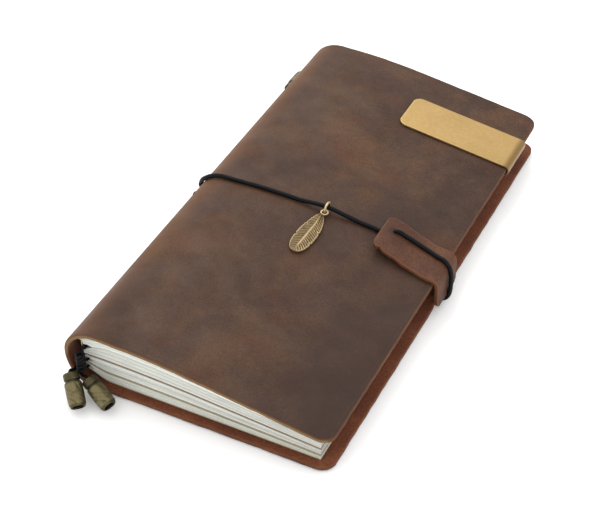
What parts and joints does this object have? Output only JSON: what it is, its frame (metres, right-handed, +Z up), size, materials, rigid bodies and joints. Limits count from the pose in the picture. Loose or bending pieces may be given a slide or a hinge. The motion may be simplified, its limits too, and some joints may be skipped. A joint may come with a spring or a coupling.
{
  "type": "sketchbook",
  "caption": "Slim refillable sketchbook: stapled paper booklets in a folded leather cover, closed by an elastic with a pull tab, with a hanging charm and a brass clip.",
  "frame": {"origin": "middle of the closed sketchbook's footprint, on the surface it lies on", "axes": "+X from the spine to the fore-edge, +Y from the tail to the head, +Z up through the front cover"},
  "size_m": [0.1239, 0.2359, 0.0302],
  "materials": {
    "leather": "waxed matt, mottled",
    "tab_leather": "matt with raw edges",
    "card": "uncoated kraft",
    "paper": "uncoated",
    "elastic": "woven over rubber",
    "bronze": "antique patina",
    "brass": "satin brushed",
    "steel": "bright wire"
  },
  "bodies": {
    "back_half": {"back_cover": "leather", "booklet_a_cover_back": "card", "booklet_b_cover": "card", "booklet_c_cover": "card", "pages_a_lower": "paper", "pages_b_upper": "paper", "pages_b_lower": "paper", "pages_c_upper": "paper", "pages_c_lower": "paper", "staple_a_tail": "steel", "staple_a_head": "steel", "staple_b_tail": "steel", "staple_b_head": "steel", "staple_c_tail": "steel", "staple_c_head": "steel", "binding_elastic_a": "elastic", "binding_elastic_b": "elastic", "binding_elastic_c": "elastic", "binding_knot": "elastic", "tail_strand_left": "elastic", "tail_strand_right": "elastic", "tail_bead_left": "bronze", "tail_bead_right": "bronze"},
    "front_half": {"front_cover": "leather", "closure_elastic": "elastic", "closure_knot": "elastic"},
    "leaves": {"booklet_a_cover_front": "card", "pages_a_upper": "paper"},
    "clip": {"brass_clip": "brass"},
    "tab": {"closure_tab": "tab_leather"},
    "charm": {"charm_ring": "bronze", "feather_charm": "bronze"},
    "spine_charm": {"spine_loop": "elastic", "spine_bead": "bronze"}
  },
  "joints": [
    {"name": "cover_open", "type": "hinge", "parent": "back_half", "child": "front_half", "pos_m": [-0.0563, 0, 0.015], "axis": [0, -1, 0], "range_deg": [0, 180], "deforming": ["closure_elastic"]},
    {"name": "leaves_turn", "type": "hinge", "parent": "back_half", "child": "leaves", "pos_m": [-0.053, 0, 0.0199], "axis": [0, -1, 0], "range_deg": [0, 184.5]},
    {"name": "charm_swing", "type": "hinge", "parent": "front_half", "child": "charm", "pos_m": [0.0033, -0.0005, 0.027], "axis": [0.9889, 0, -0.1483], "range_deg": [-170, 0]},
    {"name": "clip_slide", "type": "slide", "parent": "front_half", "child": "clip", "axis": [0.9889, 0, -0.1483], "range_m": [0, 0.055]},
    {"name": "closure_pull", "type": "slide", "parent": "front_half", "child": "tab", "axis": [1, 0, 0], "range_m": [0, 0.035], "stiffness_N_per_m": 60, "deforming": ["closure_elastic"]},
    {"name": "spine_bead_give", "type": "slide", "parent": "back_half", "child": "spine_charm", "axis": [0.2703, 0, -0.9628], "range_m": [0, 0.0059], "deforming": ["spine_loop"]}
  ],
  "couplings": [
    {"joint": "leaves_turn", "follows": "cover_open", "ratio": 1.0222},
    {"joint": "spine_bead_give", "follows": "cover_open", "m_per_rad": 0.00187}
  ]
}
